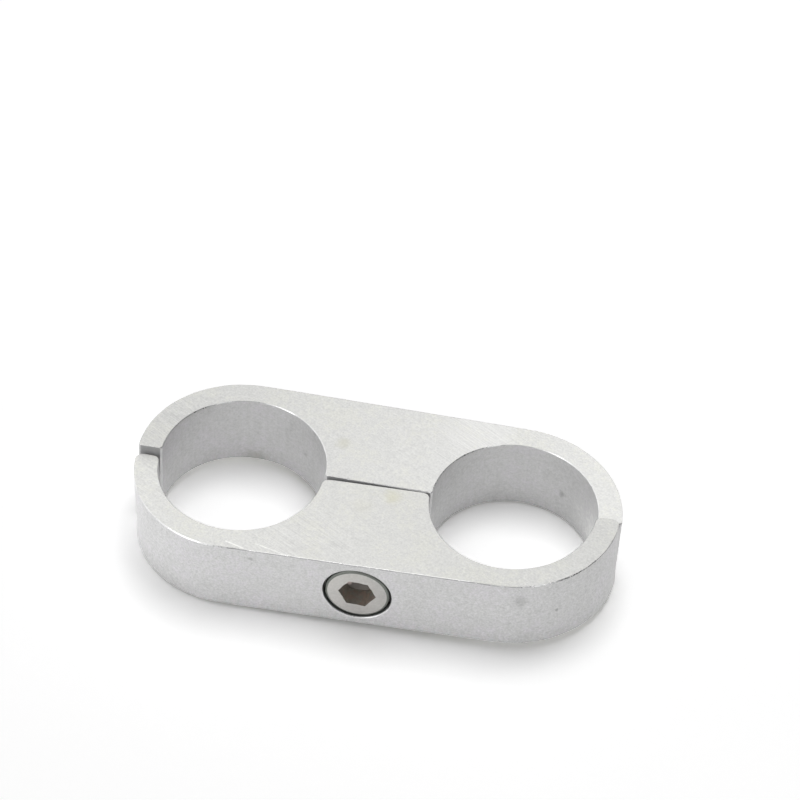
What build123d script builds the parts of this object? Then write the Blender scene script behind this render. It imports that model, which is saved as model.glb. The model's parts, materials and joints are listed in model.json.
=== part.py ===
from build123d import *
import os
from math import sqrt, tan, radians

# Two-piece clamp that holds two parallel tubes side by side. A flat obround plate with two
# through bores is sawn in two through both bore centres. One socket head cap screw, sunk in the
# long side of the counterbored half, crosses the land between the bores and pulls the threaded
# half up to it. The clamp lies on the plate's face, as left on a bench: the screw is backed off
# a little, and the loose halves are skewed about it. Millimetres, +Z up.

# ---- Tubes and plate ----
TUBE_DIAMETER = 25.4        # 1 inch tube or hose
TUBE_SPACING = 42.0         # centre to centre
WALL = 3.7                  # round each tube, at the rounded ends and the long sides
PLATE_THICKNESS = 13.0      # along the tubes
EDGE_BREAK = 0.2            # on every rim of the plate's two faces
THREADED_CORNER = 0.3       # flat on the threaded half's corners at the split
COUNTERBORED_CORNER = 1.1   # radius of the counterbored half's corners at the split

# ---- Socket head cap screw, M6 x 20 ----
SCREW_DIAMETER = 6.0
SCREW_PITCH = 1.0
SCREW_LENGTH = 20.0         # under the head
HEAD_DIAMETER = 10.0
HEAD_HEIGHT = 6.0
HEAD_ROUNDING = 0.45        # the rim of the head's flat top
NECK_FILLET = 0.2           # under the head
SOCKET_ACROSS_FLATS = 5.0
SOCKET_DEPTH = 3.0
SOCKET_MOUTH = 5.6          # the countersunk mouth, wider than the flats, inside the corners
SOCKET_DRILL_ANGLE = 120.0  # the cone that the socket's pilot drill leaves
SOCKET_TURN = -3.8          # degrees, how far a corner has turned from level

# ---- The screw in its holes: radial clearances and depths ----
HEAD_RECESS = 0.15          # the head's top below the long side
HEAD_CLEARANCE = 0.25       # in the counterbore
SHANK_CLEARANCE = 0.3       # in the counterbored half's through hole
THREAD_CLEARANCE = 0.05     # in the threaded half, both threads drawn at their major diameter
THREAD_SPARE = 3.0          # full thread past the screw's end, with the clamp closed
DRILL_ANGLE = 118.0         # the blind hole's end
HOLE_BREAK = 0.2            # on the mouths of the counterbore and the tapped hole
SEAT_BREAK = 0.25           # on the through hole under the head, which clears the neck fillet

# ---- As it lies ----
SPLIT_GAP = 0.4             # between the split faces, with the screw backed off
SKEW = 2.2                  # degrees between the two loose halves, about the screw

BORE_RADIUS = TUBE_DIAMETER / 2
OUTER_RADIUS = BORE_RADIUS + WALL
MID_HEIGHT = PLATE_THICKNESS / 2
SCREW_RADIUS = SCREW_DIAMETER / 2
HEAD_RADIUS = HEAD_DIAMETER / 2
COUNTERBORE_DEPTH = HEAD_HEIGHT + HEAD_RECESS
CLAMPED_LENGTH = OUTER_RADIUS - COUNTERBORE_DEPTH
TAPPED_DEPTH = SCREW_LENGTH - CLAMPED_LENGTH + THREAD_SPARE
THREAD_HEIGHT = SCREW_PITCH * sqrt(3) / 2 * 5 / 8  # of a 60 degree metric thread
ON_SPLIT = 0.001            # how near the split plane a corner of the outline lies


def outline() -> Sketch:
    """The whole plate's obround outline with its two bores, centred between them."""
    bores = [Pos(x, 0) * Circle(BORE_RADIUS) for x in (-TUBE_SPACING / 2, TUBE_SPACING / 2)]
    return SlotCenterToCenter(TUBE_SPACING, 2 * OUTER_RADIUS) - bores


def broken_plate() -> Part:
    """The plate before it is sawn, with the rims of its outline and bores broken."""
    plate = extrude(outline(), PLATE_THICKNESS)
    by_height = plate.faces().sort_by(Axis.Z)
    return chamfer(by_height[0].edges() + by_height[-1].edges(), EDGE_BREAK)


def plate_half(side: int, trim_corners) -> Part:
    """Half of the plate, on +Y or -Y of the split, with its corners at the split trimmed."""
    keep = Pos(0, side * OUTER_RADIUS / 2) * Rectangle(TUBE_SPACING + 2 * OUTER_RADIUS, OUTER_RADIUS)
    profile = outline() & keep
    corners = profile.vertices().filter_by_position(Axis.Y, -ON_SPLIT, ON_SPLIT)
    return broken_plate() & extrude(trim_corners(corners), PLATE_THICKNESS)


def turned(stations: list) -> Part:
    """A turned solid from (distance along the screw's axis, radius) stations.

    The axis starts at the origin and runs along +Y.
    """
    section = [(0, stations[0][0]), *[(radius, along) for along, radius in stations], (0, stations[-1][0])]
    return revolve(make_face(Polyline(*dict.fromkeys(section), close=True)), Axis.Y)


def on_screw_axis(solid: Part, along: float = 0) -> Part:
    """Moves a solid turned about Y to the screw's axis, at mid height of the plate."""
    return Pos(0, along, MID_HEIGHT) * solid


def tapped_hole() -> Part:
    """The blind hole in the threaded half, from its split face, with a drilled end."""
    radius = SCREW_RADIUS + THREAD_CLEARANCE
    point = radius / tan(radians(DRILL_ANGLE / 2))
    stations = [
        (0, radius + HOLE_BREAK),
        (HOLE_BREAK, radius),
        (TAPPED_DEPTH, radius),
        (TAPPED_DEPTH + point, 0),
    ]
    return on_screw_axis(turned(stations))


def counterbored_hole() -> Part:
    """The stepped hole through the other half, from its long side to the split face."""
    counterbore = HEAD_RADIUS + HEAD_CLEARANCE
    through = SCREW_RADIUS + SHANK_CLEARANCE
    stations = [
        (0, counterbore + HOLE_BREAK),
        (HOLE_BREAK, counterbore),
        (COUNTERBORE_DEPTH, counterbore),
        (COUNTERBORE_DEPTH, through + SEAT_BREAK),
        (COUNTERBORE_DEPTH + SEAT_BREAK, through),
        (OUTER_RADIUS, through),
    ]
    return on_screw_axis(turned(stations), -OUTER_RADIUS)


def socket() -> Part:
    """The hexagon socket, sunk from y = 0 along +Y, with a countersunk mouth and a drilled end."""
    apothem = SOCKET_ACROSS_FLATS / 2
    hexagon = Plane.XZ * Rot(0, 0, SOCKET_TURN) * RegularPolygon(apothem, 6, major_radius=False)
    sink = SOCKET_MOUTH / 2 - apothem
    mouth = turned([(0, SOCKET_MOUTH / 2), (sink, apothem)])
    point = turned([(SOCKET_DEPTH, apothem), (SOCKET_DEPTH + apothem / tan(radians(SOCKET_DRILL_ANGLE / 2)), 0)])
    return extrude(hexagon, -SOCKET_DEPTH) + mouth + point


def cap_screw() -> Part:
    """The cap screw along +Y, its head's flat top at y = 0."""
    head = Plane.XZ * Cylinder(HEAD_RADIUS, HEAD_HEIGHT, align=(Align.CENTER, Align.CENTER, Align.MAX))
    head = fillet(head.edges().sort_by(Axis.Y)[0], HEAD_ROUNDING)
    end = HEAD_HEIGHT + SCREW_LENGTH
    shank = turned([
        (HEAD_HEIGHT / 2, SCREW_RADIUS),
        (end - THREAD_HEIGHT, SCREW_RADIUS),
        (end, SCREW_RADIUS - THREAD_HEIGHT),
    ])
    screw = head + shank
    neck = screw.edges().filter_by(GeomType.CIRCLE).filter_by_position(
        Axis.Y, HEAD_HEIGHT - ON_SPLIT, HEAD_HEIGHT + ON_SPLIT
    ).sort_by(SortBy.RADIUS)[0]
    return fillet(neck, NECK_FILLET) - socket()


def skewed(solid: Part, angle: float) -> Part:
    """Turns a solid about the screw's axis, as a loose half swivels on it."""
    return solid.rotate(Axis((0, 0, MID_HEIGHT), (0, 1, 0)), angle)


def build() -> dict:
    """Every piece in place, standing on z = 0, centred between the tubes."""
    threaded = plate_half(1, lambda corners: chamfer(corners, THREADED_CORNER)) - tapped_hole()
    counterbored = plate_half(-1, lambda corners: fillet(corners, COUNTERBORED_CORNER)) - counterbored_hole()
    pieces = {
        "threaded_half": Pos(0, SPLIT_GAP / 2, 0) * skewed(threaded, SKEW / 2),
        "counterbored_half": Pos(0, -SPLIT_GAP / 2, 0) * skewed(counterbored, -SKEW / 2),
        "cap_screw": on_screw_axis(cap_screw(), HEAD_RECESS - OUTER_RADIUS - SPLIT_GAP / 2),
    }
    lift = -min(piece.bounding_box().min.Z for piece in pieces.values())
    return {name: Pos(0, 0, lift) * piece for name, piece in pieces.items()}


os.makedirs("parts", exist_ok=True)
for name, piece in build().items():
    export_step(piece, f"parts/{name}.step")
    print(name, "volume", round(piece.volume, 1), "box", piece.bounding_box().min, piece.bounding_box().max)
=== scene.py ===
import json
import logging
import math
import random
from dataclasses import dataclass, replace
from enum import Enum

import bmesh
import bpy
from mathutils import Matrix, Vector, noise

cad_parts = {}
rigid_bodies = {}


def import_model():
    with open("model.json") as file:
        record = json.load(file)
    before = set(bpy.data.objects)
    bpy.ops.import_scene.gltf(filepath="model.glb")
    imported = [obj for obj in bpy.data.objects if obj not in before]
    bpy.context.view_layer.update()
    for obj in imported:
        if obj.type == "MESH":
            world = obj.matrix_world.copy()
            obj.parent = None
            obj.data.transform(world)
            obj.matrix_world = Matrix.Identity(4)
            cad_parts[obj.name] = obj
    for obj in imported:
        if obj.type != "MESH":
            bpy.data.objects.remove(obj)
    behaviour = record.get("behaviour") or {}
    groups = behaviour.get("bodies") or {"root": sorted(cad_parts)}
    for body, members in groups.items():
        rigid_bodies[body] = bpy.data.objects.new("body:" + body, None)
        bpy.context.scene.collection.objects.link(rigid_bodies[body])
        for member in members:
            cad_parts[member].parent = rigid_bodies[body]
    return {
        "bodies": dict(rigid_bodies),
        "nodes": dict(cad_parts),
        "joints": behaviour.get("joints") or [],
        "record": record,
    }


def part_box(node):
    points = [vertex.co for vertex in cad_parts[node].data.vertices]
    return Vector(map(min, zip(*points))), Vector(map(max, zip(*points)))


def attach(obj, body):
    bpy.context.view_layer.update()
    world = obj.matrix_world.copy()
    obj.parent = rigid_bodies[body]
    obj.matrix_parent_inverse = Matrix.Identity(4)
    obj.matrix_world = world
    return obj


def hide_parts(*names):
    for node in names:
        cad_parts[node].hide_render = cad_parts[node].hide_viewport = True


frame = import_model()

Flat = tuple[float, float]
Span = tuple[int, int]
Place = tuple[float, float, float]
Colour = tuple[float, float, float, float]
Ring = list[bmesh.types.BMVert]
Materials = dict[Enum, bpy.types.Material]

MM = 0.001
UM = 1e-6
QUARTER_TURN = math.pi / 2
FULL_TURN = 2 * math.pi
LOG = logging.getLogger("tube_clamp")

# Sizes that the frame's boxes and mounts don't give.
EDGE_BREAK = 0.2 * MM           # on the rims of the plate's two faces
HOLE_BREAK = 0.2 * MM           # on the mouths of the counterbore and the tapped hole
SEAT_BREAK = 0.25 * MM          # on the through hole, under the screw's head
SPLIT_EASE = 0.01 * MM          # each split face is set back, so that closed halves share no plane
HEAD_CLEARANCE = 0.25 * MM      # in the counterbore
SHANK_CLEARANCE = 0.3 * MM      # in the through hole
THREAD_CLEARANCE = 0.05 * MM    # in the tapped hole
TAPPED_DEPTH = 12.75 * MM
DRILL_ANGLE = math.radians(118)
SOCKET_DRILL_ANGLE = math.radians(120)
PITCH = 1.0 * MM
MAJOR_RADIUS = 3.0 * MM
ROOT_RADIUS = MAJOR_RADIUS - 0.6134 * PITCH
HEAD_HEIGHT = 6.0 * MM
HEAD_RECESS = 0.15 * MM         # the head's top below the long side
NECK_LENGTH = 1.6 * MM          # of the plain neck under the head


class Surface(Enum):
    """The kinds of surface on the two aluminium halves. Each has its own finish."""

    FACE = "milled_face"
    SIDE = "outer_side"
    BORE = "bore_wall"
    SPLIT = "sawn_split_painted_shade"
    CORNER = "trimmed_corner"
    RIM = "broken_rim"
    # The darker lower facets of the rims along the long side: a painted shade line.
    RIM_SHADE = "painted_shade_rim"
    HOLE = "drilled_hole"


class ScrewSurface(Enum):
    """The kinds of surface on the cap screw. Each has its own finish."""

    HEAD = "screw_head"
    HEAD_RIM = "screw_head_rim"
    SOCKET = "screw_socket"
    SOCKET_FLOOR = "screw_socket_floor"
    SHANK = "screw_shank"


class Trim(Enum):
    """How a half's corners at the split are trimmed."""

    ROUND = "rounded"
    FLAT = "flat"


# How wide each rim is broken, as a share of the full edge break.
RIM_SHARES = {Surface.SPLIT: 0.15, Surface.CORNER: 0.5, Surface.BORE: 0.55, Surface.SIDE: 0.85}

# The three corners of a rim, (inwards, down) as shares of its width, from the face to the wall.
PLAIN_RIM = ((1.0, 0.0), (0.55, 0.45), (0.0, 1.0))
RUBBED_RIM = ((1.0, 0.0), (0.75, 0.06), (0.0, 0.6))


def mm(*lengths: float) -> tuple[float, ...]:
    """Millimetres as metres."""
    return tuple(length * MM for length in lengths)


def clamped(share: float) -> float:
    """A share kept between 0 and 1."""
    return min(1.0, max(0.0, share))


def between(start: float, end: float, share: float) -> float:
    """The number that lies a share of the way from start to end."""
    return start + (end - start) * share


class Value:
    """A number that a node gives. Arithmetic on it adds Math nodes."""

    def __init__(self, graph: "Graph", socket: bpy.types.NodeSocket | None) -> None:
        """Keeps the socket and the graph that it belongs to.

        Args:
            graph: The graph that new nodes are added to.
            socket: The output that gives the number, or None for a node with no output.
        """
        self.graph = graph
        self.socket = socket

    def __add__(self, other: "Value | float") -> "Value":
        """self + other."""
        return self.graph.math("ADD", self, other)

    def __radd__(self, other: float) -> "Value":
        """other + self."""
        return self.graph.math("ADD", other, self)

    def __sub__(self, other: "Value | float") -> "Value":
        """self - other."""
        return self.graph.math("SUBTRACT", self, other)

    def __rsub__(self, other: float) -> "Value":
        """other - self."""
        return self.graph.math("SUBTRACT", other, self)

    def __mul__(self, other: "Value | float") -> "Value":
        """self * other."""
        return self.graph.math("MULTIPLY", self, other)

    def __rmul__(self, other: float) -> "Value":
        """other * self."""
        return self.graph.math("MULTIPLY", other, self)

    def __truediv__(self, other: "Value | float") -> "Value":
        """self / other."""
        return self.graph.math("DIVIDE", self, other)

    def at_most(self, other: "Value | float") -> "Value":
        """The smaller of self and other."""
        return self.graph.math("MINIMUM", self, other)

    def step(self, low: float, high: float) -> "Value":
        """A smooth step from 0 at low to 1 at high."""
        inputs = {"Value": self, "From Min": low, "From Max": high}
        return self.graph.add("ShaderNodeMapRange", {"interpolation_type": "SMOOTHSTEP"}, inputs)


class Graph:
    """Adds nodes to a shader or geometry tree."""

    def __init__(self, tree: bpy.types.NodeTree) -> None:
        """Starts from an empty tree.

        Args:
            tree: The tree that the nodes go into. Its old nodes are removed.
        """
        self.tree = tree
        tree.nodes.clear()

    def add(
        self,
        kind: str,
        settings: dict[str, object] | None = None,
        inputs: dict[str | int, object] | None = None,
        output: str | int = 0,
    ) -> Value:
        """Adds one node.

        Args:
            kind: The node's type.
            settings: Its properties, set before its sockets.
            inputs: Values or links of its sockets, by name or place.
            output: The name or place of the output that is wanted.

        Returns:
            The wanted output.
        """
        node = self.tree.nodes.new(kind)
        for name, value in (settings or {}).items():
            setattr(node, name, value)
        for key, value in (inputs or {}).items():
            if isinstance(value, Value):
                self.tree.links.new(value.socket, node.inputs[key])
            else:
                node.inputs[key].default_value = value
        return Value(self, node.outputs[output] if len(node.outputs) else None)

    def math(self, operation: str, first: Value | float, second: Value | float = 0.0) -> Value:
        """One Math node.

        Args:
            operation: The Math node's operation.
            first: Its first number.
            second: Its second number.

        Returns:
            The result.
        """
        return self.add("ShaderNodeMath", {"operation": operation}, {0: first, 1: second})

    def vector(self, operation: str, *vectors: Value | Place, output: str = "Value") -> Value:
        """One Vector Math node.

        Args:
            operation: The node's operation.
            vectors: The vectors that it takes.
            output: The name of the output that is wanted.

        Returns:
            The result.
        """
        return self.add("ShaderNodeVectorMath", {"operation": operation}, dict(enumerate(vectors)), output)

    def blend(self, kind: str, factor: Value | float, first: object, second: object) -> Value:
        """Mixes two colours.

        Args:
            kind: The blend type, such as MIX or MULTIPLY.
            factor: How much of the second colour is used.
            first: The first colour.
            second: The second colour, or a number that stands for a grey.

        Returns:
            The mixed colour.
        """
        settings = {"data_type": "RGBA", "blend_type": kind}
        return self.add("ShaderNodeMix", settings, {0: factor, 6: first, 7: second}, output=2)


@dataclass(frozen=True)
class Marks:
    """Fine marks of one direction and scale on a surface. Lengths are in metres.

    Each size is the width of a mark along one axis, after the marks are turned about Z.
    """

    size: Place
    turn: float = 0.0
    detail: float = 3.0

    def pattern(self, place: Value) -> Value:
        """The marks as a number round 0.

        Args:
            place: The object coordinates.

        Returns:
            About -0.5 to 0.5.
        """
        graph = place.graph
        scale = tuple(1.0 / width for width in self.size)
        turned = graph.add("ShaderNodeMapping", inputs={"Vector": place, "Rotation": (0, 0, self.turn)})
        scaled = graph.add("ShaderNodeMapping", inputs={"Vector": turned, "Scale": scale})
        inputs = {"Vector": scaled, "Scale": 1.0, "Detail": self.detail, "Roughness": 0.6}
        return graph.add("ShaderNodeTexNoise", inputs=inputs, output="Fac") - 0.5


ALUMINIUM = (0.68, 0.68, 0.678, 1)
WARM_ALUMINIUM = (0.68, 0.68, 0.668, 1)
PAINTED_SHEEN = (0.84, 0.84, 0.83, 1)
STEEL = (0.52, 0.51, 0.49, 1)
GREY_DIRT = (0.20, 0.20, 0.20, 1)
WARM_STAIN = (0.62, 0.60, 0.42, 1)
LILAC = (0.985, 0.972, 0.995, 1)
STRAW = (0.995, 0.995, 0.972, 1)


@dataclass(frozen=True)
class Spot:
    """A round mark on a surface: where it is, how far it reaches, and what it does. Metres."""

    place: Place
    radius: float
    strength: float
    colour: Colour = GREY_DIRT

    def cover(self, place: Value, edge: Value) -> Value:
        """How much of the mark lies at a place.

        Args:
            place: The object coordinates.
            edge: A pattern round 0 that makes the mark's edge uneven.

        Returns:
            0 outside the mark, up to its strength at its middle.
        """
        reach = place.graph.vector("DISTANCE", place, self.place)
        return (1 - (reach / self.radius + edge).step(0.1, 1.0)) * self.strength


@dataclass(frozen=True)
class Scratch:
    """A straight bright scratch on a level face. Metres."""

    start: Place
    end: Place
    width: float = 0.2 * MM
    strength: float = 0.28

    def cover(self, place: Value) -> Value:
        """How much of the scratch lies at a place, whatever its height.

        Args:
            place: The object coordinates.

        Returns:
            0 beside the scratch, up to its strength on it.
        """
        graph = place.graph
        run = Vector(self.end) - Vector(self.start)
        offset = graph.vector("SUBTRACT", place, self.start, output="Vector")
        share = graph.vector("DOT_PRODUCT", offset, tuple(run / run.length_squared))
        inside = graph.math("MAXIMUM", share.at_most(1.0), 0.0)
        nearest = graph.vector("MULTIPLY_ADD", inside, tuple(run), self.start, output="Vector")
        aside = graph.vector("SUBTRACT", place, nearest, output="Vector")
        level = graph.vector("MULTIPLY", aside, (1, 1, 0), output="Vector")
        return (1 - graph.vector("LENGTH", level).step(0.0, self.width)) * self.strength


@dataclass(frozen=True)
class MetalFinish:
    """A bare metal surface with tool marks, grain and slow changes of shade.

    Each shade is how far its pattern lightens and darkens the colour. The lean is how much lighter
    the surface gets along each axis, for each metre: painted light and shade, following how the light
    falls across the surface. The tint comes in where the slow patterns rise past its edge. The stains
    and painted light are round marks: real stains and dirt, and also painted highlights and sheen.
    """

    colour: Colour
    roughness: float
    streaks: Marks
    grain: Marks
    streak_shade: float = 0.2
    grain_shade: float = 0.2
    mottle_shade: float = 0.2
    cloud_shade: float = 0.2
    mottle_size: float = 1.1 * MM
    cloud_size: float = 6 * MM
    lean: Place = (0.0, 0.0, 0.0)
    tint: Colour = (1.0, 1.0, 1.0, 1)
    tint_edge: Flat = (0.45, 0.7)
    relief: float = 8 * UM
    roughness_spread: float = 0.15
    even_streaks: float = 1.0
    brushed: tuple[Spot, ...] = ()
    stains_and_painted_light: tuple[Spot, ...] = ()
    scratches: tuple[Scratch, ...] = ()

    def material(self, name: str) -> bpy.types.Material:
        """Builds the material.

        Args:
            name: The material's name.

        Returns:
            A new node material.
        """
        material = bpy.data.materials.new(name)
        material.use_nodes = True
        graph = Graph(material.node_tree)
        place = graph.add("ShaderNodeTexCoord", output="Object")
        cloud = Marks((self.cloud_size,) * 3, detail=2.0).pattern(place)
        mottle = Marks((self.mottle_size,) * 3, detail=2.0).pattern(place)
        reach = sum((spot.cover(place, cloud) for spot in self.brushed), self.even_streaks)
        streak = self.streaks.pattern(place) * reach
        grain = self.grain.pattern(place)
        # The lean is painted light and shade: the surface lighter towards one side.
        lean = graph.vector("DOT_PRODUCT", place, self.lean)
        scratch = sum((scratch.cover(place) for scratch in self.scratches), 0.0)
        slow = self.cloud_shade * cloud + self.mottle_shade * mottle + lean
        shade = 1 + slow + self.streak_shade * streak + self.grain_shade * grain + scratch
        colour = graph.blend("MULTIPLY", 1.0, self.colour, shade)
        tinted = (mottle + cloud + 0.5).step(*self.tint_edge)
        colour = graph.blend("MULTIPLY", tinted, colour, self.tint)
        # Round marks: real stains and dirt, and also painted highlights and sheen.
        for spot_mark in self.stains_and_painted_light:
            colour = graph.blend("MIX", spot_mark.cover(place, cloud + mottle), colour, spot_mark.colour)
        rough = self.roughness + self.roughness_spread * (streak + 0.5 * grain + cloud)
        height = streak + 0.6 * grain + mottle
        bump = {"Strength": 1.0, "Distance": self.relief, "Height": height}
        normal = graph.add("ShaderNodeBump", inputs=bump)
        inputs = {"Base Color": colour, "Metallic": 1.0, "Roughness": rough, "Normal": normal}
        shader = graph.add("ShaderNodeBsdfPrincipled", inputs=inputs)
        graph.add("ShaderNodeOutputMaterial", inputs={"Surface": shader})
        return material


def face_finish(side: int) -> MetalFinish:
    """The finish of a half's two milled faces, with painted shade and sheen in its colour.

    Args:
        side: 1 for the back half, -1 for the front half.

    Returns:
        The finish, with the marks of that half.
    """
    top = 13.7
    diagonal = Marks(mm(5, 0.2, 5), turn=math.radians(31))
    front = MetalFinish(
        # The front half's face is coloured darker than the back half's and leans darker towards +X: painted
        # shade from how the light falls on the tilted half.
        (0.66, 0.66, 0.646, 1), 0.62, diagonal, Marks(mm(0.3, 0.3, 0.3)),
        streak_shade=0.26, grain_shade=0.45, cloud_shade=0.22, mottle_size=0.7 * MM,
        lean=(-1.9, 0.0, 0.0), tint=STRAW, even_streaks=0.8,
        brushed=(Spot(mm(-10, -12, top), 9 * MM, 2.2), Spot(mm(-33, -6, top), 6 * MM, 1.2)),
        stains_and_painted_light=(
            Spot(mm(2.7, -1.9, top), 2.2 * MM, 0.35, WARM_STAIN),
            Spot(mm(-1.5, -4.5, top), 2.4 * MM, 0.10, WARM_STAIN),
        ),
        scratches=(
            Scratch(mm(-20.3, -15.3, top), mm(-17.5, -16.2, top)),
            Scratch(mm(-15.8, -15.0, top), mm(-10.6, -16.5, top), strength=0.18),
        ),
    )
    if side < 0:
        return front
    # The back half's face takes the lighter colour and leans lighter towards +X: painted sheen from how the
    # light falls on the tilted half.
    return replace(
        front, colour=WARM_ALUMINIUM, lean=(2.4, 0.0, 0.0), scratches=(),
        brushed=(Spot(mm(-33, 6, top), 9 * MM, 2.2), Spot(mm(15, 13, top), 10 * MM, 3.2)),
        stains_and_painted_light=(
            Spot(mm(-6.6, 7.4, top), 1.6 * MM, 0.35, (0.52, 0.51, 0.40, 1)),
            # A lighter round patch at the back right: painted sheen.
            Spot(mm(14, 14.5, top), 8 * MM, 0.3, PAINTED_SHEEN),
        ),
    )


def aluminium_finishes() -> dict[Surface, MetalFinish]:
    """The finishes that both halves share.

    Returns:
        The finish of each aluminium surface but the milled faces.
    """
    fine = Marks(mm(0.32, 0.32, 0.32))
    upright = Marks(mm(0.35, 0.35, 14))
    sawn = Marks(mm(0.35, 0.35, 25))
    turned = Marks(mm(30, 0.12, 30))
    rim = MetalFinish((0.66, 0.66, 0.66, 1), 0.3, fine, fine, mottle_shade=0.6)
    return {
        # The outer side leans lighter towards the left end: painted light.
        Surface.SIDE: MetalFinish(
            ALUMINIUM, 0.66, fine, fine, grain_shade=0.4, mottle_shade=0.3, mottle_size=0.6 * MM,
            lean=(-1.2, 0.0, 0.0), tint=LILAC, relief=14 * UM,
            stains_and_painted_light=(
                Spot(mm(24.6, -16.2, 11.3), 1.6 * MM, 0.22),
                Spot(mm(29.9, -13.8, 7.7), 0.5 * MM, 0.45),
                Spot(mm(-16.2, -16.6, 11.6), 0.5 * MM, 0.3),
            ),
        ),
        # The bore walls are coloured a little darker than the side and lean lighter towards -X: painted
        # shade and light.
        Surface.BORE: MetalFinish(
            (0.648, 0.648, 0.646, 1), 0.6, upright, fine, streak_shade=0.16, grain_shade=0.4,
            mottle_shade=0.28, cloud_shade=0.25, mottle_size=0.7 * MM, lean=(-0.3, 0.0, 0.0), tint=LILAC,
            stains_and_painted_light=(
                # The lighter patch on the right bore's right wall is painted light reflected from the floor.
                Spot(mm(34, 2, 5.5), 9 * MM, 1.0, PAINTED_SHEEN),
                Spot(mm(27.1, 11.15, 5.4), 0.9 * MM, 0.5),
                Spot(mm(-22.0, 12.6, 1.6), 3.2 * MM, 0.3, (0.35, 0.34, 0.30, 1)),
                Spot(mm(-13.2, 10.0, 6.9), 0.8 * MM, 0.25),
            ),
        ),
        # The split faces are coloured darker than the other aluminium: painted shade on the faces between
        # the halves.
        Surface.SPLIT: MetalFinish((0.52, 0.52, 0.525, 1), 0.85, sawn, fine),
        # The trimmed corners are coloured darker than the other aluminium, as painted shade that tones down
        # their highlight.
        Surface.CORNER: MetalFinish((0.58, 0.58, 0.58, 1), 0.5, upright, fine),
        Surface.RIM: rim,
        # The rims' lower facets along the long side are darker: painted shade.
        Surface.RIM_SHADE: replace(rim, colour=(0.46, 0.46, 0.46, 1), roughness=0.4),
        Surface.HOLE: MetalFinish(ALUMINIUM, 0.4, turned, fine),
    }


def burr_finish() -> MetalFinish:
    """The finish of the small burrs on the halves' upper rims, lighter than the aluminium as a painted
    glint.
    """
    fine = Marks(mm(0.2, 0.2, 0.2))
    return MetalFinish((0.86, 0.86, 0.85, 1), 0.35, fine, fine)


def screw_finishes() -> dict[ScrewSurface, MetalFinish]:
    """The finishes of the screw.

    Returns:
        The finish of each of its surfaces.
    """
    fine = Marks(mm(0.35, 0.35, 0.35))
    turned = Marks(mm(8, 0.1, 8))
    return {
        # The head's face leans strongly darker towards +X: painted light and shade across it.
        ScrewSurface.HEAD: MetalFinish(
            STEEL, 0.42, fine, fine, cloud_shade=0.35, lean=(-24.0, 0.0, 0.0), relief=5 * UM
        ),
        # The head's rounded rim is near black: painted shade of the narrow gap round the head in the
        # counterbore.
        ScrewSurface.HEAD_RIM: MetalFinish((0.17, 0.18, 0.165, 1), 0.35, fine, fine),
        # The socket walls are lighter than the head's steel and tinted pink: painted light and a painted
        # pink reflection.
        ScrewSurface.SOCKET: MetalFinish(
            (0.68, 0.66, 0.61, 1), 0.45, fine, fine, cloud_shade=0.9, tint=(1.0, 0.90, 0.88, 1)
        ),
        # The socket floor is near black, painted shade deep in the socket; its pink spot is a painted
        # highlight.
        ScrewSurface.SOCKET_FLOOR: MetalFinish(
            (0.16, 0.15, 0.14, 1), 0.5, fine, fine,
            stains_and_painted_light=(Spot(mm(-1.8, -13.25, 6.1), 0.8 * MM, 0.8, (0.95, 0.80, 0.78, 1)),),
        ),
        ScrewSurface.SHANK: MetalFinish(STEEL, 0.3, turned, fine, relief=3 * UM),
    }


def put(name: str, data: bpy.types.ID) -> bpy.types.Object:
    """Adds an object to the scene.

    Args:
        name: Its name, which its data gets too.
        data: Its mesh, light or camera.

    Returns:
        The new object, at the origin.
    """
    data.name = name
    item = bpy.data.objects.new(name, data)
    bpy.context.collection.objects.link(item)
    return item


def seat(piece: bpy.types.Object, body: str, stands_for_node: bool = False) -> None:
    """Lets a finished piece ride on a CAD body, and reports it.

    Args:
        piece: The piece.
        body: The body, whose node has the same name.
        stands_for_node: True where the piece takes the CAD node's place.
    """
    if stands_for_node:
        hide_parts(body)
    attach(piece, body)
    triangles = sum(len(face.vertices) - 2 for face in piece.data.polygons)
    LOG.info("%s rides on %s, %d triangles", piece.name, body, triangles)


def join_rings(bm: bmesh.types.BMesh, ring: Ring, following: Ring, place: int) -> None:
    """Joins two rings of points, either of which may be a single tip.

    Args:
        bm: The mesh.
        ring: The first ring.
        following: The next ring.
        place: The material place of the new faces.
    """
    count = max(len(ring), len(following))
    for i in range(count):
        j = (i + 1) % count
        if len(following) == 1:
            corners = (ring[i], ring[j], following[0])
        elif len(ring) == 1:
            corners = (ring[0], following[j], following[i])
        else:
            corners = (ring[i], ring[j], following[j], following[i])
        bm.faces.new(corners).material_index = place


def finished_mesh(
    bm: bmesh.types.BMesh, crease: float, materials: Materials, kinds: type[Enum]
) -> bpy.types.Mesh:
    """Turns a bmesh into a mesh that is smooth within a surface and sharp between surfaces.

    Args:
        bm: The bmesh, which is freed.
        crease: The angle past which an edge is sharp.
        materials: The material of each kind of surface.
        kinds: The kinds of surface, in the order of the mesh's material places.

    Returns:
        The mesh, with its materials.
    """
    bmesh.ops.recalc_face_normals(bm, faces=bm.faces)
    for face in bm.faces:
        face.smooth = True
    for edge in bm.edges:
        places = {face.material_index for face in edge.link_faces}
        edge.smooth = len(places) == 1 and edge.calc_face_angle(math.pi) < crease
    mesh = bpy.data.meshes.new("shell")
    bm.to_mesh(mesh)
    bm.free()
    for kind in kinds:
        mesh.materials.append(materials[kind])
    return mesh


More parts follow.
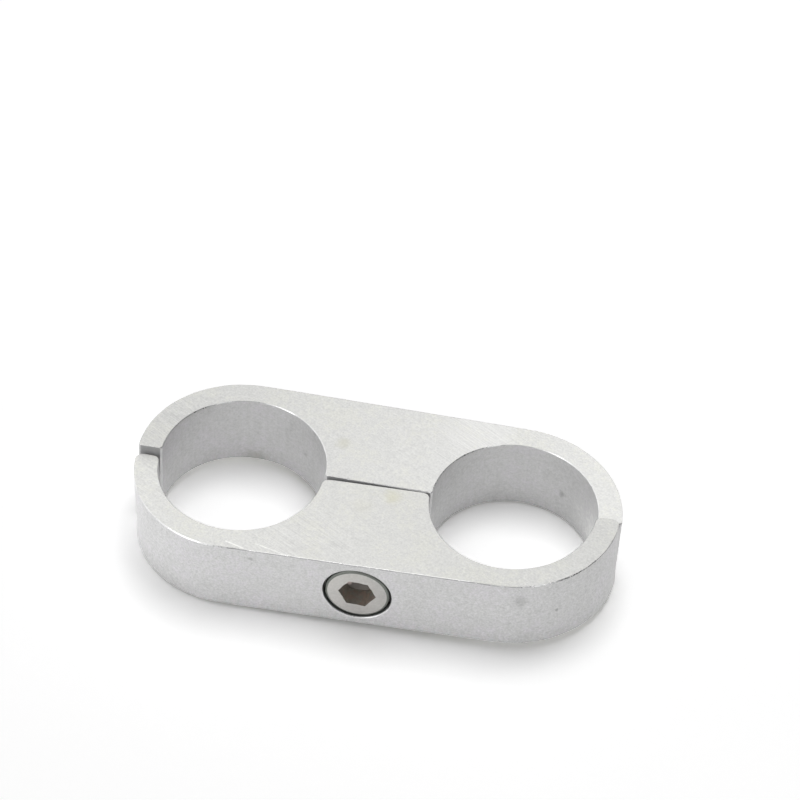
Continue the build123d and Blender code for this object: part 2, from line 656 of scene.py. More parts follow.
@dataclass(frozen=True)
class ClampSizes:
    """The clamp's sizes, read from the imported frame. Metres and radians."""

    bore_radius: float
    outer_radius: float
    half_spacing: float
    thickness: float
    half_gap: float
    tilt: float
    mid_height: float
    head_radius: float
    head_top: float
    screw_end: float

    @classmethod
    def from_frame(cls, model: dict) -> "ClampSizes":
        """Reads the sizes.


        Returns:
            The sizes.
        """
        saddle = next(m for m in model["record"]["mounts"] if m["name"] == "right_saddle_threaded")
        low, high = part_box("threaded_half")
        screw_low, screw_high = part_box("cap_screw")
        tilt = math.asin(saddle["axis"][0])
        return cls(
            bore_radius=saddle["dims"]["r_mm"] * MM,
            outer_radius=high[1] - low[1],
            half_spacing=saddle["pos_m"][0] / math.cos(tilt),
            thickness=saddle["dims"]["length_mm"] * MM + 2 * EDGE_BREAK,
            half_gap=low[1],
            tilt=tilt,
            mid_height=(screw_low[2] + screw_high[2]) / 2,
            head_radius=(screw_high[0] - screw_low[0]) / 2,
            head_top=screw_low[1],
            screw_end=screw_high[1],
        )


@dataclass(frozen=True)
class OutlinePoint:
    """A point of a half's outline, and the surface that runs from it to the next."""

    x: float
    y: float
    surface: Surface


def arc(centre: Flat, radius: float, start: float, end: float, step: float) -> list[Flat]:
    """Points along an arc.

    Args:
        centre: The arc's centre.
        radius: Its radius.
        start: The angle of its first point.
        end: The angle of its last point.
        step: The longest wanted distance between points.

    Returns:
        The points, both ends included.
    """
    widest = math.radians(6)
    count = math.ceil(max(abs(end - start) * radius / step, abs(end - start) / widest))
    angles = [start + (end - start) * i / count for i in range(count + 1)]
    return [(centre[0] + radius * math.cos(a), centre[1] + radius * math.sin(a)) for a in angles]


def straight(start: Flat, end: Flat, step: float) -> list[Flat]:
    """Evenly spaced points along a line.

    Args:
        start: The first point.
        end: The last point.
        step: The longest wanted distance between points.

    Returns:
        The points, both ends included. Their number is odd, so that one lies in the middle.
    """
    count = 2 * math.ceil(math.dist(start, end) / step / 2)
    return [tuple(a + (b - a) * i / count for a, b in zip(start, end)) for i in range(count + 1)]


def rounded_mouth(face: float, inwards: int, radius: float) -> list[Flat]:
    """The rounded mouth of a hole.

    Args:
        face: The y of the face that the hole goes into.
        inwards: 1 where the hole runs along +Y from the face, -1 where it runs along -Y.
        radius: The hole's radius.

    Returns:
        (y, radius) of each station, from the face to the hole's wall.
    """
    angles = [QUARTER_TURN * i / 3 for i in range(4)]
    return [
        (face + inwards * HOLE_BREAK * (1 - math.cos(a)), radius + HOLE_BREAK * (1 - math.sin(a)))
        for a in angles
    ]


@dataclass
class PlateHalf:
    """One half of the sawn plate, as a closed mesh with unevenly broken rims.

    It is built on +Y of the split, and the front half is turned half a turn about Z.
    """

    name: str
    sizes: ClampSizes
    side: int
    trim: Trim
    corner: float
    seed: int
    step: float = 0.3 * MM
    hole_window: float = 5.0 * MM
    head_window: float = 7.0 * MM
    ring_points: int = 96
    crease: float = math.radians(38)
    nicks: int = 46
    nick_widths: Flat = (0.10 * MM, 0.35 * MM)
    nick_depths: Flat = (0.02 * MM, 0.09 * MM)
    deepest: float = 0.14 * MM
    wave_length: float = 2.5 * MM
    ripple_length: float = 0.5 * MM
    worn_land: float = 0.75
    straight_share: float = 0.8
    straight_fade: float = 0.3
    tip_start: float = 31.5 * MM
    tip_length: float = 2.5 * MM
    tip_loss: float = 0.5
    burrs: int = 40
    burr_lengths: Flat = (0.05 * MM, 0.30 * MM)
    burr_thickness: float = 0.05 * MM

    @property
    def body(self) -> str:
        """The half's CAD body, whose node has the same name."""
        return "threaded_half" if self.side > 0 else "counterbored_half"

    def build(self, metals: Materials) -> None:
        """Builds the half.

        Args:
            metals: The material of each surface that both halves share.
        """
        face = face_finish(self.side).material(f"{Surface.FACE.value}_{self.name}")
        seat(put(f"{self.name}_half", self.mesh({Surface.FACE: face, **metals})), self.body, True)

    def strew_burrs(self, chips: "RimChips", bright: bpy.types.Material) -> None:
        """Adds small burrs along the half's upper rim.

        Args:
            chips: The tree that makes them.
            bright: Their material.
        """
        shortest, longest = self.burr_lengths
        inputs = {
            "Shortest": shortest, "Longest": longest, "Thickness": self.burr_thickness,
            "Count": self.burrs, "Seed": self.seed, "Material": bright,
        }
        seat(chips.grow(f"{self.name}_burrs", inputs, self._upper_rim()), self.body)

    def _outline(self) -> list[OutlinePoint]:
        """The outline, with the solid on its left.

        Returns:
            The spots in order, the last one joining up with the first.
        """
        s = self.sizes
        spots: list[OutlinePoint] = []

        def run(points: list[Flat], surface: Surface) -> None:
            """Adds a stretch, without its last point, which the next one starts with."""
            spots.extend(OutlinePoint(x, max(y, SPLIT_EASE), surface) for x, y in points[:-1])

        outer_left = self._corner(-s.half_spacing, s.outer_radius, -1, False)
        outer_right = self._corner(s.half_spacing, s.outer_radius, 1, False)
        last = outer_left[0]
        for centre in (-s.half_spacing, s.half_spacing):
            near, far = (self._corner(centre, s.bore_radius, way, True) for way in (-1, 1))
            if centre > 0:
                for stop in ((-self.hole_window, 0.0), (self.hole_window, 0.0)):
                    run(straight(last, stop, self.step), Surface.SPLIT)
                    last = stop
            run(straight(last, near[0], self.step), Surface.SPLIT)
            run(near, Surface.CORNER)
            begin, finish = (math.atan2(y, x - centre) for x, y in (near[-1], far[-1]))
            run(arc((centre, 0), s.bore_radius, begin, finish, self.step), Surface.BORE)
            run(far[::-1], Surface.CORNER)
            last = far[0]
        run(straight(last, outer_right[0], self.step), Surface.SPLIT)
        run(outer_right, Surface.CORNER)
        begin = math.atan2(outer_right[-1][1], outer_right[-1][0] - s.half_spacing)
        run(arc((s.half_spacing, 0), s.outer_radius, begin, QUARTER_TURN, self.step), Surface.SIDE)
        stops = (s.half_spacing, self.head_window, -self.head_window, -s.half_spacing)
        for start, end in zip(stops, stops[1:]):
            run(straight((start, s.outer_radius), (end, s.outer_radius), self.step), Surface.SIDE)
        finish = math.pi - begin
        run(arc((-s.half_spacing, 0), s.outer_radius, QUARTER_TURN, finish, self.step), Surface.SIDE)
        run(outer_left[::-1], Surface.CORNER)
        return spots

    def _corner(self, centre: float, radius: float, way: int, bore: bool) -> list[Flat]:
        """A trimmed corner where an arc meets the split.

        Args:
            centre: The x of the arc's centre, which lies on the split.
            radius: The arc's radius.
            way: 1 for the corner right of the centre, -1 for the one left of it.
            bore: True where the solid lies outside the arc.

        Returns:
            Its points, from the split to the arc.
        """
        outwards = 1 if bore else -1
        if self.trim is Trim.FLAT:
            up = self.corner / radius
            foot = (centre + way * (radius + outwards * self.corner), 0.0)
            return [foot, (centre + way * radius * math.cos(up), radius * math.sin(up))]
        reach = radius + outwards * self.corner
        offset = math.sqrt(reach**2 - self.corner**2)
        towards = math.atan2(self.corner, way * offset) + (math.pi if bore else 0.0)
        turn = (towards + QUARTER_TURN + math.pi) % FULL_TURN - math.pi
        middle = (centre + way * offset, self.corner)
        return arc(middle, self.corner, -QUARTER_TURN, turn - QUARTER_TURN, self.step)

    def _breaks(self, spots: list[OutlinePoint], shift: float) -> list[Flat]:
        """How far the rim is broken at each spot.

        Args:
            spots: The outline.
            shift: Where in the noise this rim is read.

        Returns:
            (width, nick depth) at each spot.
        """
        along = [0.0]
        for here, there in zip(spots, spots[1:]):
            along.append(along[-1] + math.dist((here.x, here.y), (there.x, there.y)))
        pick = random.Random(self.seed)
        nicks = [
            (pick.uniform(0, along[-1]), pick.uniform(*self.nick_widths), pick.uniform(*self.nick_depths))
            for _ in range(self.nicks)
        ]
        result = []
        for place, spot in zip(along, spots):
            wave = noise.noise(Vector((place / self.wave_length, shift, self.seed)))
            ripple = noise.noise(Vector((place / self.ripple_length, shift + 7, self.seed)))
            width = EDGE_BREAK * self._rim_share(spot) * (0.85 + 0.30 * wave + 0.15 * ripple)
            nick = sum(depth * max(0.0, 1 - ((place - at) / half) ** 2) for at, half, depth in nicks)
            result.append((width, min(nick, self.deepest)))
        return result

    def _straightness(self, spot: OutlinePoint) -> float:
        """1 on the long straight side, and 0 round the ends and off the side."""
        past = abs(spot.x) / self.sizes.half_spacing - self.straight_share
        return 1 - clamped(past / self.straight_fade) if spot.surface is Surface.SIDE else 0.0

    def _rim_section(self, spot: OutlinePoint) -> list[Flat]:
        """The rim's three corners: plain round the ends, rubbed along the long side.

        Args:
            spot: The spot of the outline.

        Returns:
            (inwards, down) of each corner, as shares of the rim's width, from the face to the wall.
        """
        rubbed = self._straightness(spot)
        pairs = zip(PLAIN_RIM, RUBBED_RIM)
        return [(between(a[0], b[0], rubbed), between(a[1], b[1], rubbed)) for a, b in pairs]

    def _rim_share(self, spot: OutlinePoint) -> float:
        """How wide the rim is at a spot, as a share of the full edge break.

        Args:
            spot: The spot of the outline.

        Returns:
            The share. On the back half it grows to the right along the land between the bores.
        """
        share = RIM_SHARES[spot.surface]
        land = self.sizes.half_spacing - self.sizes.bore_radius
        if spot.surface is Surface.SPLIT and self.side > 0 and abs(spot.x) < land:
            share += self.worn_land * (0.5 + 0.5 * spot.x / land)
        if spot.surface is Surface.SIDE:
            share -= self.tip_loss * clamped((abs(spot.x) - self.tip_start) / self.tip_length)
        return share

    def mesh(self, materials: Materials) -> bpy.types.Mesh:
        """Builds the half in the row frame.

        Args:
            materials: The material of each surface.

        Returns:
            The mesh.
        """
        spots = self._outline()
        inwards = self._inward_normals(spots)
        sections = [self._rim_section(spot) for spot in spots]
        bm = bmesh.new()
        rows: list[Ring] = []
        for end, levels in ((1, (0, 1, 2)), (-1, (2, 1, 0))):
            breaks = self._breaks(spots, 3.0 * end)
            for level in levels:
                row = []
                for spot, inward, (width, nick), section in zip(spots, inwards, breaks, sections):
                    inwards_share, down_share = section[level]
                    inset = width * inwards_share + nick * (1 - down_share)
                    drop = width * down_share + nick * inwards_share * down_share
                    z = end * (self.sizes.thickness / 2 - drop)
                    row.append(bm.verts.new((spot.x + inward.x * inset, spot.y + inward.y * inset, z)))
                rows.append(row)
        places = {surface: index for index, surface in enumerate(Surface)}
        wall, lower_facets = 2, (1, 3)  # the bands between rows, counted from the upper face
        windows = self._windows(spots)
        covered = {i for start, end in windows.values() for i in range(start, end)}
        for level, (upper, lower) in enumerate(zip(rows, rows[1:])):
            for i, spot in enumerate(spots):
                if level == wall and i in covered:
                    continue
                j = (i + 1) % len(spots)
                surface = spot.surface if level == wall else Surface.RIM
                # Along the long side the lower rim facets get the darker colour: a painted shade line under
                # the rim.
                if level in lower_facets and self._straightness(spot) > 0.5:
                    surface = Surface.RIM_SHADE
                face = bm.faces.new((upper[i], lower[i], lower[j], upper[j]))
                face.material_index = places[surface]
        for loop in (rows[0], rows[-1][::-1]):
            bm.faces.new(loop).material_index = places[Surface.FACE]
        self._add_holes(bm, rows[wall], rows[wall + 1], windows, places)
        bmesh.ops.transform(bm, matrix=self._placing(), verts=bm.verts)
        return finished_mesh(bm, self.crease, materials, Surface)

    def _placing(self) -> Matrix:
        """The move from the half's own axes to its place in the row frame.

        Returns:
            The matrix.
        """
        turn = Matrix.Rotation(0.0 if self.side > 0 else math.pi, 4, "Z")
        tilt = Matrix.Rotation(self.side * self.sizes.tilt, 4, "Y")
        lift = Matrix.Translation((0, self.side * self.sizes.half_gap, self.sizes.mid_height))
        return lift @ tilt @ turn

    def _upper_rim(self) -> list[Place]:
        """The outer rim of the half's upper face, where small burrs stand.

        Returns:
            The points of the rim, from one end of the split to the other.
        """
        placing = self._placing()
        spots = self._outline()
        drop = 0.3 * EDGE_BREAK
        height = self.sizes.thickness / 2 - drop
        return [
            tuple(placing @ Vector((spot.x + inward.x * drop, spot.y + inward.y * drop, height)))
            for spot, inward in zip(spots, self._inward_normals(spots))
            if spot.surface is Surface.SIDE
        ]

    @staticmethod
    def _inward_normals(spots: list[OutlinePoint]) -> list[Vector]:
        """The direction into the solid at each spot.

        Args:
            spots: The outline.

        Returns:
            The directions, longer than 1 at a corner, so that a rim keeps its width there.
        """
        normals = []
        for i, spot in enumerate(spots):
            before, after = spots[i - 1], spots[(i + 1) % len(spots)]
            first = Vector((spot.x - before.x, spot.y - before.y)).normalized()
            second = Vector((after.x - spot.x, after.y - spot.y)).normalized()
            middle = (first + second).normalized()
            normals.append(Vector((-middle.y, middle.x)) / max(0.5, middle.dot(first)))
        return normals

    def _windows(self, spots: list[OutlinePoint]) -> dict[Surface, Span]:
        """Where the wall is left out round a hole.

        Args:
            spots: The outline.

        Returns:
            The first and last spot of each window, by the surface that it is in.
        """

        def nearest(x: float, y: float) -> int:
            """The spot nearest to a place."""
            return min(range(len(spots)), key=lambda i: math.dist((spots[i].x, spots[i].y), (x, y)))

        windows = {Surface.SPLIT: (nearest(-self.hole_window, 0.0), nearest(self.hole_window, 0.0))}
        if self.trim is Trim.ROUND:
            top = self.sizes.outer_radius
            windows[Surface.SIDE] = (nearest(self.head_window, top), nearest(-self.head_window, top))
        return windows

    def _stations(self) -> list[tuple[float, float, Surface]]:
        """The hole's section.

        Returns:
            (distance from the split, radius, surface up to the next station).
        """
        rim, hole = Surface.RIM, Surface.HOLE
        if self.trim is Trim.FLAT:
            radius = MAJOR_RADIUS + THREAD_CLEARANCE
            point = TAPPED_DEPTH + radius / math.tan(DRILL_ANGLE / 2)
            *mouth, wall = rounded_mouth(0.0, 1, radius)
            mouth = [(max(y, SPLIT_EASE), wide, rim) for y, wide in mouth]
            return [*mouth, (*wall, hole), (TAPPED_DEPTH, radius, hole), (point, 0.0, hole)]
        top = self.sizes.outer_radius
        seat_at = top - HEAD_HEIGHT - HEAD_RECESS
        bore = self.sizes.head_radius + HEAD_CLEARANCE
        through = MAJOR_RADIUS + SHANK_CLEARANCE
        return [
            (SPLIT_EASE, through, hole),
            (seat_at - SEAT_BREAK, through, rim),
            (seat_at, through + SEAT_BREAK, hole),
            (seat_at, bore, hole),
            *((y, wide, rim) for y, wide in rounded_mouth(top, -1, bore)[::-1]),
        ]

    def _add_holes(
        self, bm: bmesh.types.BMesh, upper: Ring, lower: Ring, windows: dict[Surface, Span],
        places: dict[Surface, int],
    ) -> None:
        """Adds the hole and joins it to the walls round it.

        Args:
            bm: The mesh.
            upper: The row of points over the walls.
            lower: The row of points under the walls.
            windows: Where the walls are left out.
            places: The material place of each surface.
        """
        stations = self._stations()
        angles = [FULL_TURN * i / self.ring_points for i in range(self.ring_points)]
        rings = []
        for y, radius, _ in stations:
            points = [(radius * math.sin(a), y, radius * math.cos(a)) for a in angles]
            rings.append([bm.verts.new(point) for point in (points if radius else points[:1])])
        for (ring, following), (_, _, surface) in zip(zip(rings, rings[1:]), stations):
            join_rings(bm, ring, following, places[surface])
        half = self.ring_points // 2
        mouths = {Surface.SPLIT: rings[0], Surface.SIDE: rings[-1][:1] + rings[-1][:0:-1]}
        for surface, (start, end) in windows.items():
            ring = mouths[surface]
            middle = (start + end) // 2
            right = lower[middle : end + 1] + upper[middle : end + 1][::-1]
            left = upper[start : middle + 1][::-1] + lower[start : middle + 1]
            for face in (right + ring[: half + 1], left + ring[half:] + ring[:1]):
                bm.faces.new(face).material_index = places[surface]


@dataclass
class CapScrew:
    """The socket head cap screw, turned about the screw's axis. Metres."""

    sizes: ClampSizes
    across_flats: float = 5.0 * MM
    socket_depth: float = 3.0 * MM
    mouth_radius: float = 2.58 * MM
    mouth_steps: int = 6
    socket_turn: float = math.radians(-3.8)
    rounding: float = 0.45 * MM
    rounding_steps: int = 7
    head_break: float = 0.25 * MM
    neck_radius: float = MAJOR_RADIUS - 0.3 * MM
    neck_fillet: float = 0.2 * MM
    knurl_depth: float = 0.06 * MM
    knurl_middle: float = 3.1 * MM
    ridge_width: float = 0.32 * MM
    ridge_length: float = 4.6 * MM
    ridges: int = 72
    points: int = 192
    crease: float = math.radians(28)

    def build(self, steels: Materials) -> None:
        """Builds the head, the neck and the core of the thread.

        Args:
            steels: The material of each surface.
        """
        seat(put("socket_screw", self.mesh(steels)), "cap_screw", True)

    def knurl(self, steel: bpy.types.Material) -> None:
        """Adds the knurl round the head.

        Args:
            steel: The head's material.
        """
        inputs = {
            "Radius": self.sizes.head_radius - self.knurl_depth, "Ridge Width": self.ridge_width,
            "Ridge Length": self.ridge_length, "Start": self.sizes.head_top + self.knurl_middle,
            "Height": self.sizes.mid_height, "Count": self.ridges, "Material": steel,
        }
        seat(RidgeRing().grow("head_knurl", inputs), "cap_screw")

    def _hexagon(self, angle: float) -> float:
        """The socket's radius at an angle from level."""
        sector = (angle - self.socket_turn) % (math.pi / 3) - math.pi / 6
        return self.across_flats / 2 / math.cos(sector)

    def _stations(self) -> list[tuple[float, float, bool, ScrewSurface]]:
        """The screw's section.

        Returns:
            (depth under the head's top, radius, True where the hexagon may widen it, surface up
            to the next station), from the tip of the socket's drilled end to the screw's end.
        """
        flat, wide = self.across_flats / 2, self.sizes.head_radius
        end = self.sizes.screw_end - self.sizes.head_top
        head, shank, floor = ScrewSurface.HEAD, ScrewSurface.SHANK, ScrewSurface.SOCKET_FLOOR
        stations = [
            (self.socket_depth + flat / math.tan(SOCKET_DRILL_ANGLE / 2), 0.0, False, floor),
            (self.socket_depth, flat, False, floor),
            (self.socket_depth, 0.0, True, ScrewSurface.SOCKET),
        ]
        for i in range(self.mouth_steps + 1):
            depth = (self.mouth_radius - flat) * (1 - i / self.mouth_steps)
            stations.append((depth, self.mouth_radius - depth, True, head))
        # The head's rounding takes the near-black rim colour: painted shade of the gap round the head.
        for i in range(self.rounding_steps + 1):
            angle = QUARTER_TURN * i / self.rounding_steps
            radius = wide - self.rounding * (1 - math.sin(angle))
            stations.append((self.rounding * (1 - math.cos(angle)), radius, False, ScrewSurface.HEAD_RIM))
        return stations + [
            (HEAD_HEIGHT - self.head_break, wide, False, head),
            (HEAD_HEIGHT, wide - self.head_break, False, head),
            (HEAD_HEIGHT, self.neck_radius + self.neck_fillet, False, head),
            (HEAD_HEIGHT + self.neck_fillet, self.neck_radius, False, shank),
            (HEAD_HEIGHT + NECK_LENGTH, self.neck_radius, False, shank),
            (HEAD_HEIGHT + NECK_LENGTH + 0.4 * MM, ROOT_RADIUS, False, shank),
            (end - self.head_break, ROOT_RADIUS, False, shank),
            (end, ROOT_RADIUS - self.head_break, False, shank),
            (end, 0.0, False, shank),
        ]

    def mesh(self, materials: Materials) -> bpy.types.Mesh:
        """Builds the head, socket, neck and core in the row frame.

        Args:
            materials: The material of each surface.

        Returns:
            The mesh.
        """
        places = {surface: index for index, surface in enumerate(ScrewSurface)}
        bm = bmesh.new()
        rings = []
        for depth, radius, hexagon, _ in self._stations():
            y = self.sizes.head_top + depth
            if radius == 0.0 and not hexagon:
                rings.append([bm.verts.new((0, y, self.sizes.mid_height))])
                continue
            ring = []
            for i in range(self.points):
                angle = self.socket_turn + FULL_TURN * i / self.points
                reach = max(radius, self._hexagon(angle)) if hexagon else radius
                z = self.sizes.mid_height + reach * math.sin(angle)
                ring.append(bm.verts.new((reach * math.cos(angle), y, z)))
            rings.append(ring)
        for (ring, following), (_, _, _, surface) in zip(zip(rings, rings[1:]), self._stations()):
            join_rings(bm, ring, following, places[surface])
        bmesh.ops.remove_doubles(bm, verts=bm.verts, dist=UM)
        return finished_mesh(bm, self.crease, materials, ScrewSurface)


class DetailTree:
    """A geometry tree with named inputs, which makes one kind of fine detail."""

    name = ""
    sizes: tuple[str, ...] = ()
    counts: tuple[str, ...] = ()

    def __init__(self) -> None:
        """Builds the tree, which ends in real geometry with one material."""
        self.tree = bpy.data.node_groups.new(self.name, "GeometryNodeTree")
        add = self.tree.interface.new_socket
        add("Geometry", in_out="OUTPUT", socket_type="NodeSocketGeometry")
        kinds = {
            "Geometry": ("Geometry",), "Float": self.sizes, "Int": self.counts, "Material": ("Material",)
        }
        for kind, names in kinds.items():
            for name in names:
                add(name, in_out="INPUT", socket_type=f"NodeSocket{kind}")
        self.graph = Graph(self.tree)
        real = self._node("RealizeInstances", Geometry=self._shape())
        dressed = self._node("SetMaterial", Geometry=real, Material=self._given("Material"))
        self.graph.add("NodeGroupOutput", inputs={0: dressed})

    def _given(self, name: str) -> Value:
        """One of the tree's named inputs."""
        return self.graph.add("NodeGroupInput", output=name)

    def _node(self, kind: str, **inputs: object) -> Value:
        """A geometry node with its usual settings, whose inputs have names of one word."""
        return self.graph.add(f"GeometryNode{kind}", inputs=inputs)

    def _shape(self) -> Value:
        """The geometry that the tree makes, before its material."""
        raise NotImplementedError

    def grow(
        self, name: str, inputs: dict[str, object], path: list[Place] | None = None
    ) -> bpy.types.Object:
        """Makes a piece with the tree, as a plain mesh.

        Args:
            name: The piece's name.
            inputs: The value of each named input.
            path: The points of the path that the tree follows, where it follows one.

        Returns:
            The new object, with no modifier and with its faces outwards.
        """
        points = path or []
        source = put(f"{name}_path", bpy.data.meshes.new("path"))
        source.data.from_pydata(points, [(i, i + 1) for i in range(len(points) - 1)], [])
        modifier = source.modifiers.new("tree", "NODES")
        modifier.node_group = self.tree
        for item in self.tree.interface.items_tree:
            if item.in_out == "INPUT" and item.name in inputs:
                modifier[item.identifier] = inputs[item.name]
        ready = source.evaluated_get(bpy.context.evaluated_depsgraph_get())
        mesh = bpy.data.meshes.new_from_object(ready)
        source.modifiers.remove(modifier)
        bpy.data.objects.remove(source)
        bm = bmesh.new()
        bm.from_mesh(mesh)
        bmesh.ops.recalc_face_normals(bm, faces=bm.faces)
        bm.to_mesh(mesh)
        bm.free()
        return put(name, mesh)


class HelicalRidge(DetailTree):
    """Winds one thread ridge round the screw's axis."""

    name = "helical_ridge"
    sizes = (
        "Base Radius", "Crest Radius", "Base Width", "Crest Width", "Turns", "Start", "Phase", "Run Out",
        "Height", "Pitch",
    )
    counts = ("Steps",)

    def _shape(self) -> Value:
        """A four-sided prism as tall as 1, bent round the axis.

        Its height becomes the place along the helix, and its corners the ridge's base and crest.

        Returns:
            The bent prism.
        """
        graph, given = self.graph, self._given
        prism = graph.add(
            "GeometryNodeMeshCylinder",
            {"fill_type": "NGON"},
            {"Vertices": 4, "Side Segments": given("Steps"), "Radius": 1.0, "Depth": 1.0},
            output="Mesh",
        )
        place = graph.add("GeometryNodeInputPosition")
        across, along, up = (
            graph.add("ShaderNodeSeparateXYZ", inputs={0: place}, output=axis) for axis in range(3)
        )
        share = up + 0.5
        run = given("Run Out") / given("Turns")
        shown = (share / run).at_most(1.0) * ((1 - share) / run).at_most(1.0)
        crest = graph.math("GREATER_THAN", across + along, 0.0)
        upper = graph.math("GREATER_THAN", across - along, 0.0) * 2 - 1
        height = (given("Crest Radius") - given("Base Radius")) * shown
        radius = given("Base Radius") + crest * height
        width = (given("Base Width") + (given("Crest Width") - given("Base Width")) * crest) * 0.5
        turned = share * given("Turns") * FULL_TURN + given("Phase")
        x = radius * graph.math("SINE", turned)
        y = given("Start") + given("Pitch") * given("Turns") * share + upper * width
        z = radius * graph.math("COSINE", turned) + given("Height")
        moved = graph.add("ShaderNodeCombineXYZ", inputs={0: x, 1: y, 2: z})
        bent = self._node("SetPosition", Geometry=prism, Position=moved)
        return graph.add("GeometryNodeSetShadeSmooth", inputs={"Geometry": bent, "Shade Smooth": False})


class RidgeRing(DetailTree):
    """Sets small straight ridges round the screw's head."""

    name = "ridge_ring"
    sizes = ("Radius", "Ridge Width", "Ridge Length", "Start", "Height")
    counts = ("Count",)

    def _shape(self) -> Value:
        """Four-sided prisms on a circle, laid along the screw's axis.

        Returns:
            The ring of prisms.
        """
        given = self._given
        ring = self._node("MeshCircle", Vertices=given("Count"), Radius=given("Radius"))
        inputs = {
            "Vertices": 4, "Side Segments": 1, "Radius": given("Ridge Width") * 0.5,
            "Depth": given("Ridge Length"),
        }
        ridge = self.graph.add("GeometryNodeMeshCylinder", {"fill_type": "NGON"}, inputs, "Mesh")
        outwards = {"Vector": self._node("InputPosition")}
        turn = self.graph.add(
            "FunctionNodeAlignRotationToVector", {"axis": "X", "pivot_axis": "Z"}, outwards
        )
        placed = self._node("InstanceOnPoints", Points=ring, Instance=ridge, Rotation=turn)
        middle = self.graph.add("ShaderNodeCombineXYZ", inputs={1: given("Start"), 2: given("Height")})
        return self._node("Transform", Geometry=placed, Rotation=(QUARTER_TURN, 0, 0), Translation=middle)


class RimChips(DetailTree):
    """Strews small bright burrs along a path."""

    name = "rim_chips"
    sizes = ("Shortest", "Longest", "Thickness")
    counts = ("Count", "Seed")

    def _chance(self, low: Value | float, high: Value | float, shift: int) -> Value:
        """A random number for each burr.

        Args:
            low: The lowest that it may be.
            high: The highest that it may be.
            shift: What sets this draw apart from the others.

        Returns:
            The number.
        """
        inputs = {"Min": low, "Max": high, "Seed": self._given("Seed") + shift}
        return self.graph.add("FunctionNodeRandomValue", {"data_type": "FLOAT"}, inputs, 1)

    def _shape(self) -> Value:
        """Small icospheres, drawn out along the path at random places.

        Returns:
            The burrs.
        """
        graph, given = self.graph, self._given
        path = self._node("MeshToCurve", Mesh=given("Geometry"))
        points = self._node("Points", Count=given("Count"))
        sample = {"Curves": path, "Factor": self._chance(0.0, 1.0, 1)}
        spot, along = (
            graph.add("GeometryNodeSampleCurve", {"mode": "FACTOR"}, sample, output)
            for output in ("Position", "Tangent")
        )
        strewn = self._node("SetPosition", Geometry=points, Position=spot)
        ball = self._node("MeshIcoSphere", Radius=given("Thickness"), Subdivisions=1)
        chip = graph.add("GeometryNodeSetShadeSmooth", inputs={"Geometry": ball, "Shade Smooth": False})
        length = self._chance(given("Shortest"), given("Longest"), 2) / given("Thickness")
        shape = graph.add("ShaderNodeCombineXYZ", inputs={0: 1.0, 1: 0.7, 2: length})
        lie = graph.add("FunctionNodeAlignRotationToVector", {"axis": "Z"}, {"Vector": along})
        return self._node("InstanceOnPoints", Points=strewn, Instance=chip, Rotation=lie, Scale=shape)


@dataclass
class ThreadPair:
    """The screw's thread and the tapped hole's, which mesh with each other. Metres."""

    sizes: ClampSizes
    steps_per_turn: int = 64
    tapped_turns: float = 11.6
    lead_in: float = 0.5 * MM
    lead_out: float = 0.3 * MM

    def build(self, steel: bpy.types.Material, aluminium: bpy.types.Material) -> None:
        """Builds both threads.

        Args:
            steel: The screw's material.
            aluminium: The tapped hole's material.
        """
        ridge = HelicalRidge()
        first = self.sizes.head_top + HEAD_HEIGHT + NECK_LENGTH + self.lead_in
        start = self.sizes.half_gap + self.lead_in
        turns = (self.sizes.screw_end - self.lead_out - first) / PITCH
        outer = {
            "Base Radius": ROOT_RADIUS - 0.02 * MM, "Crest Radius": MAJOR_RADIUS, "Base Width": 0.77 * PITCH,
            "Crest Width": 0.125 * PITCH, "Start": first, "Phase": 0.0, "Run Out": 0.6, "Material": steel,
        }
        inner = {
            "Base Radius": MAJOR_RADIUS + 0.07 * MM, "Crest Radius": ROOT_RADIUS + 0.1 * MM,
            "Base Width": 0.8 * PITCH, "Crest Width": 0.2 * PITCH, "Start": start,
            "Phase": ((start - first) / PITCH + 0.5) * FULL_TURN, "Run Out": 0.5, "Material": aluminium,
        }
        for name, body, count, values in (
            ("screw_thread", "cap_screw", turns, outer),
            ("tapped_thread", "threaded_half", self.tapped_turns, inner),
        ):
            values |= {
                "Pitch": PITCH, "Turns": count, "Steps": round(count * self.steps_per_turn),
                "Height": self.sizes.mid_height,
            }
            seat(ridge.grow(name, values), body)


